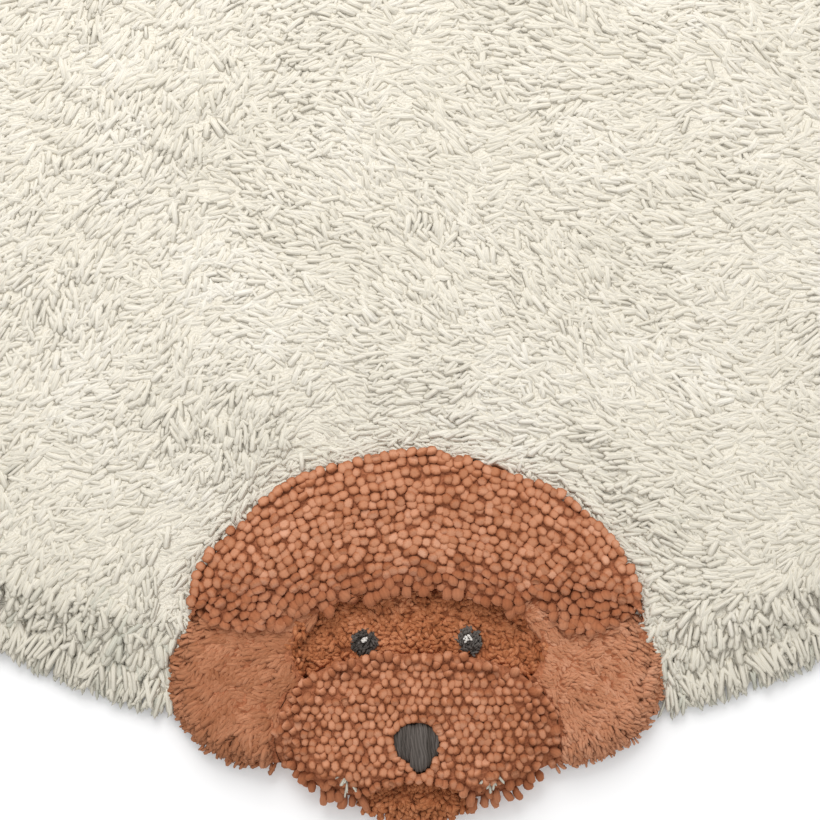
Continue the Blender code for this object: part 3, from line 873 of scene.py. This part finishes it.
def makeLowPile(node, seed, downward, darker):
    # crinkles that lie mostly across, and hang at the chin; a ring of them fills the outline
    chance = np.random.default_rng(seed)
    places, tops = patchPlaces(node, lowPile["spacing"], lowPile["jitter"], chance)
    across = np.sign(places[:, 0] + chance.normal(0, lowPile["parting"], len(places)))
    headings = unit(np.column_stack([across, -0.25 - downward * np.ones(len(places))]))
    if node == "eye_band":
        ring = outlinePlaces(node, lowPile["spacing"] * lowPile["ringSpacing"])
        ways = ovalShare(node, ring)[1]
        for inward, rise in lowPile["toEars"]:
            line = ring - ways * inward
            besides = ring + ways * 0.004
            earShare = np.minimum(
                ovalShare("ear_left", besides)[0], ovalShare("ear_right", besides)[0])
            lineTops = topHeights(topTree(node), line - ways * 0.006)
            free = (ovalShare("muzzle", line)[0] > 1.03) & (earShare < 1)
            free &= lineTops > pileFrom
            turned = ways + chance.normal(0, lowPile["ringTurn"], ways.shape)
            places = np.concatenate([places, line[free]])
            tops = np.concatenate([tops, lineTops[free] + rise])
            headings = np.concatenate([headings, unit(turned[free])])
    points, tints = lyingStrands(lowPile, places, tops, headings, chance)
    tints = np.clip(tints - darker, 0, 1)
    return joinCopies(
        node + "_pile", lowPile["template"], points, tints, lowMaterial, [node])


lowPieces = [makeLowPile("eye_band", 11, 0, 0), makeLowPile("chin", 12, 2.5, 0.18)]


# The nose and the eyes, of charcoal yarn

charcoalLook = dict(
    tints=[(0.0, (72, 66, 61)), (0.5, (95, 88, 83)), (1.0, (116, 110, 105))],
    # painted shade: the depths darken each stitch and strand at its root, for the light yarn too
    depths=[(0.0, (150, 145, 140)), (0.15, (255, 255, 255)), (1.0, (255, 255, 255))], plies=6,
    turns=3, flecks=8, fray=2.0, grooveShade=0.35, bump=0.5, bumpDepth=0.0004, sheen=0.15)
lightLook = dict(charcoalLook, grooveShade=0.1, tints=[(0.0, (222, 214, 204)),
                                                       (1.0, (250, 247, 242))])
nose = dict(
    seed=13,
    template=makeTemplate(8, [(0.06, 0.7), (0.16, 0.95), (0.28, 1), (0.40, 1), (0.52, 1),
                              (0.64, 1), (0.76, 1), (0.86, 0.95), (0.94, 0.7)]),
    middle=(0.0, headY - 0.054), halfWidth=0.0148, threads=11, width=0.0040, crest=0.0280,
    dome=0.0075,
    top=0.0155, topRound=0.0052,  # from the middle, and how much lower the outermost start
    notch=(0.0012, -0.002, 0.0025),  # its depth, its place and its width
    bottom=-0.0118, bottomRound=0.0048, taper=0.0010, lobeAside=0.0018, lobeHalf=0.0064,
    lobeBottom=-0.0180, lobeRound=0.0030)
eyes = dict(
    template=makeTemplate(3, [(0.25, 0.8), (0.55, 1.0), (0.85, 0.85)]), spacing=0.0014,
    jitter=0.35, length=0.0026, lengthSpread=0.2, width=0.0029, widthSpread=0.2, flat=0.85,
    rootDepth=0.0040, rise=0.0020, drop=0.0008, dropSpread=0.0006, tuft=0.0040, tuftTurn=0.35,
    strandTurn=0.25, tuftPull=0.4, tuftHeight=0.0008, tuftSpread=0.0003, curl=0.1,
    tuftTint=0.12, strandTint=0.14, fieldTint=0.05, fieldSize=0.01)
charcoalMaterial = yarnMaterial("charcoal_yarn", charcoalLook)
lightMaterial = yarnMaterial("light_yarn", lightLook)


def makeNose():
    # upright stitches side by side over a pad: wide shoulders, and a lobe below
    chance = np.random.default_rng(nose["seed"])
    x = np.linspace(-1, 1, nose["threads"]) * (nose["halfWidth"] - nose["width"] / 2)
    share = np.abs(x) / nose["halfWidth"]
    depth, aside, wide = nose["notch"]
    notch = depth * np.exp(-((x - aside) / wide) ** 2)
    top = nose["top"] - nose["topRound"] * share ** 3 - notch
    bottom = nose["bottom"] + nose["bottomRound"] * share ** 4
    lobe = np.abs(x - nose["lobeAside"]) / nose["lobeHalf"]
    bottom = np.where(lobe < 1, nose["lobeBottom"] + nose["lobeRound"] * lobe ** 2, bottom)
    t = nose["template"]["along"][None, :]
    y = top[:, None] + (bottom - top)[:, None] * t
    across = x[:, None] + chance.normal(0, 0.00025, (len(x), len(t[0])))
    across = across - nose["taper"] * t * share[:, None]
    far = (across / nose["halfWidth"]) ** 2 * 0.7 + (2 * t - 1) ** 4 * 0.8
    z = nose["crest"] - nose["dome"] * far + chance.normal(0, 0.0002, far.shape)
    lines = np.stack([across + nose["middle"][0], y + nose["middle"][1], z], -1)
    sideways = np.tile([1.0, 0.0, 0.0], (len(x), 1))
    widths = nose["width"] * (1 + 0.1 * chance.uniform(-1, 1, len(x)))
    points = bentCopies(nose["template"], lines, sideways, widths, widths * 0.8)
    tints = np.clip(0.5 + 0.15 * chance.normal(0, 1, len(x)), 0, 1)
    return joinCopies(
        "nose_stitches", nose["template"], points, tints, charcoalMaterial,
        ["nose"])


def makeTuft(node, seed, point, patch, material, slot):
    # a small tuft that spreads from its middle and is drawn out to one point
    chance = np.random.default_rng(seed)
    places, tops = patchPlaces(node, patch["spacing"], patch["jitter"], chance)
    low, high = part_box(node)
    aside = places - ((low + high) / 2).xy
    headings = unit(aside * 90 + np.array(point) * 0.8)
    points, tints = lyingStrands(patch, places, tops, headings, chance)
    tints = np.clip(tints + patch.get("tint", 0), 0, 1)
    return joinCopies(node + "_tuft", patch["template"], points, tints, material, [node])


noseStitches = makeNose()
glints = dict(eyes, length=0.0009, width=0.0023, spacing=0.0012, rise=0.0040, drop=-0.0015)
charcoalYarn = (charcoalMaterial, "charcoal_yarn")
lightYarn = (lightMaterial, "light_yarn")
tuftPieces = [
    makeTuft("eye_left", 14, (-0.5, -0.85), eyes, *charcoalYarn),
    makeTuft("eye_right", 15, (0.0, 1.0), dict(eyes, tint=0.45), *charcoalYarn),
    makeTuft("glint_left", 16, (-0.3, -0.5), glints, *lightYarn),
    makeTuft("glint_right", 17, (0.0, 0.5), glints, *lightYarn),
]


# The beds under the pile

def bedMaterial(name, dark, light, size):
    # low pile in shade, mottled at the yarn's scale
    material = bpy.data.materials.new(name)
    material.use_nodes = True
    tree = material.node_tree
    shader = tree.nodes["Principled BSDF"]
    place = addNode(tree, "ShaderNodeTexCoord", (-1000, 0))
    grain = addNode(tree, "ShaderNodeTexNoise", (-750, 0))
    grain.inputs["Scale"].default_value = 1 / size
    grain.inputs["Detail"].default_value = 4
    shade = addNode(tree, "ShaderNodeValToRGB", (-500, 100))
    fillRamp(shade, [(0.35, dark), (0.65, light)])
    bump = addNode(tree, "ShaderNodeBump", (-300, -200))
    bump.inputs["Strength"].default_value = 0.8
    bump.inputs["Distance"].default_value = size
    tree.links.new(place.outputs["Object"], grain.inputs["Vector"])
    tree.links.new(grain.outputs["Fac"], shade.inputs["Fac"])
    tree.links.new(grain.outputs["Fac"], bump.inputs["Height"])
    tree.links.new(shade.outputs["Color"], shader.inputs["Base Color"])
    tree.links.new(bump.outputs["Normal"], shader.inputs["Normal"])
    shader.inputs["Roughness"].default_value = 0.95
    shader.inputs["Specular IOR Level"].default_value = 0.1
    return material


rimPatches = ("crown", "ear_left", "ear_right", "muzzle", "chin")  # with locks at their rims


def drawnIn(node, flat, limit):
    # how much nearer an outline's middle each place goes, to stay under the pile's edge
    others = [name for name in rimPatches if name != node]
    free = np.min([ovalShare(name, flat)[0] for name in others], axis=0) > 1
    share = ovalShare(node, flat)[0]
    return 1 / np.maximum(share / np.where(free, limit, 1), 1)


def makeBed(node, material, slot, keep, spread=1.0, sink=0.0):
    # a CAD solid with its top let down and its locks drawn in, to close the view between strands:
    # keep is the share of its height that stays, sink the least that its top goes down, and
    # spread how far out it reaches
    bm = bmesh.new()
    bm.from_mesh(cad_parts[node].data)
    bmesh.ops.remove_doubles(bm, verts=bm.verts, dist=0.00001)
    middle = (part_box(node)[0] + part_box(node)[1]) / 2
    flat = np.array([vert.co.xy for vert in bm.verts])
    shares = np.full(len(flat), spread)
    if node in rimPatches:
        shares = drawnIn(node, flat, spread)
        middle.xy = outlines[node]["middle"]
    for vert, share in zip(bm.verts, shares):
        vert.co.xy = middle.xy + (vert.co.xy - middle.xy) * share
        if vert.co.z > clothTop:
            low = min(clothTop + (vert.co.z - clothTop) * keep, vert.co.z - sink)
            vert.co.z = max(low, clothTop)
    mesh = bpy.data.meshes.new(node + "_bed")
    bm.to_mesh(mesh)
    bm.free()
    mesh.shade_smooth()
    return addPiece(node + "_bed", mesh, material, [node])


creamBed = bedMaterial("cream_bed", (213, 206, 190), (235, 229, 215), 0.0012)
rustBed = bedMaterial("rust_bed", (140, 82, 54), (176, 112, 80), 0.003)
darkBed = bedMaterial("dark_bed", (120, 68, 42), (158, 96, 64), 0.003)
charcoalBed = bedMaterial("charcoal_bed", (58, 53, 49), (82, 75, 70), 0.002)
earBed = dict(material=rustBed, slot="rust_cut_pile", keep=0.95, spread=0.965)
lowBed = dict(material=darkBed, slot="dark_rust_pile", keep=0.90)
eyeBed = dict(material=charcoalBed, slot="charcoal_yarn", keep=0.92)
glintBed = dict(material=charcoalBed, slot="light_yarn", keep=0.90)
beds = {
    "rug": dict(material=creamBed, slot="cream_shag", keep=0.85, sink=0.0027),
    "crown": dict(material=rustBed, slot="rust_knobs", keep=0.88, spread=0.975),
    "muzzle": dict(material=rustBed, slot="rust_knobs", keep=0.90, spread=0.94),
    "ear_left": earBed,
    "ear_right": earBed,
    "eye_band": lowBed,
    "chin": lowBed,
    "nose": dict(material=charcoalBed, slot="charcoal_yarn", keep=0.88, spread=0.68),
    "eye_left": eyeBed,
    "eye_right": eyeBed,
    "glint_left": glintBed,
    "glint_right": glintBed,
}
bedPieces = {node: makeBed(node, **values) for node, values in beds.items()}
print("beds", len(bedPieces))


# The floor, the light and the camera

stage = dict(
    floorSize=60, viewWidth=0.5207, viewMiddle=(-0.0044, -0.382),
    viewHeight=0.018,  # the pile's top, where the view's width is measured
    lens=90, sky=0.90, keyPower=27, keySize=1.2, keyPlace=(-0.30, 1.10, 1.35),
    keyAim=(0.0, -0.38, 0.0))


def makeFloor():
    bm = bmesh.new()
    bmesh.ops.create_grid(bm, x_segments=1, y_segments=1, size=stage["floorSize"] / 2)
    bmesh.ops.translate(bm, verts=bm.verts, vec=(0, 0, -0.0005))
    mesh = bpy.data.meshes.new("floor")
    bm.to_mesh(mesh)
    bm.free()
    material = bpy.data.materials.new("floor_paint")
    material.use_nodes = True
    shader = material.node_tree.nodes["Principled BSDF"]
    shader.inputs["Base Color"].default_value = (0.90, 0.90, 0.90, 1)
    shader.inputs["Roughness"].default_value = 0.9
    shader.inputs["Specular IOR Level"].default_value = 0.1
    mesh.materials.append(material)
    floor = bpy.data.objects.new("floor", mesh)
    bpy.context.scene.collection.objects.link(floor)


def makeLight():
    scene = bpy.context.scene
    world = bpy.data.worlds.new("sky")
    world.use_nodes = True
    world.node_tree.nodes["Background"].inputs["Color"].default_value = (1, 1, 1, 1)
    world.node_tree.nodes["Background"].inputs["Strength"].default_value = stage["sky"]
    scene.world = world
    lamp = bpy.data.lights.new("key", "AREA")
    lamp.shape = "SQUARE"
    lamp.size = stage["keySize"]
    lamp.energy = stage["keyPower"]
    key = bpy.data.objects.new("key", lamp)
    key.location = stage["keyPlace"]
    aim = Vector(stage["keyAim"]) - key.location
    key.rotation_euler = aim.to_track_quat("-Z", "Y").to_euler()
    scene.collection.objects.link(key)
    scene.view_settings.view_transform = "Standard"
    scene.view_settings.look = "None"


def makeCamera():
    camera = bpy.data.cameras.new("camera")
    camera.lens = stage["lens"]
    camera.sensor_width = 36
    camera.dof.use_dof = False
    shot = bpy.data.objects.new("camera", camera)
    distance = stage["viewWidth"] * stage["lens"] / camera.sensor_width
    shot.location = (*stage["viewMiddle"], stage["viewHeight"] + distance)
    bpy.context.scene.collection.objects.link(shot)
    bpy.context.scene.camera = shot


makeFloor()
makeLight()
makeCamera()
